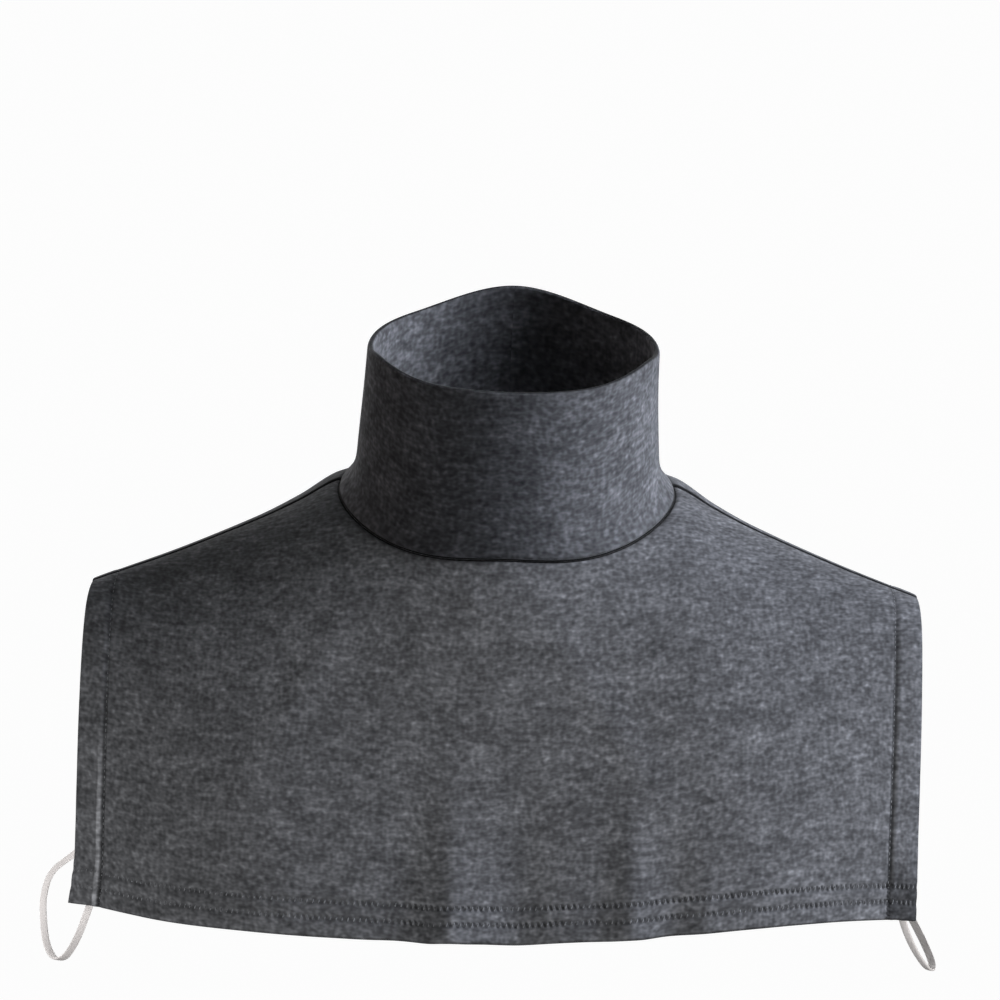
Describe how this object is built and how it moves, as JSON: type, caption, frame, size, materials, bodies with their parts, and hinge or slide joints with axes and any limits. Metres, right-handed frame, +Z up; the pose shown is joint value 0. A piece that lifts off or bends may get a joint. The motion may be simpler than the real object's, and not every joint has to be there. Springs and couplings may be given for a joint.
{
  "type": "turtleneck dickey",
  "caption": "Mock-turtleneck dickey of heathered knit jersey: a standing folded collar on a front and a back bib, with elastic loops under the arms.",
  "frame": {"origin": "middle of the neck opening, level with the sides of the neck seam, where the dickey sits on the base of a neck", "axes": "+X to the viewer's right when seen from the front, -Y out of the front bib, +Z up the collar"},
  "size_m": [0.3667, 0.1961, 0.2733],
  "materials": {
    "jersey": "dark grey heathered knit jersey, matt with a soft nap",
    "elastic": "narrow woven white elastic, matt"
  },
  "bodies": {
    "root": {"collar": "jersey", "front_panel": "jersey", "back_panel": "jersey", "elastic_left": "elastic", "elastic_right": "elastic"}
  },
  "joints": []
}
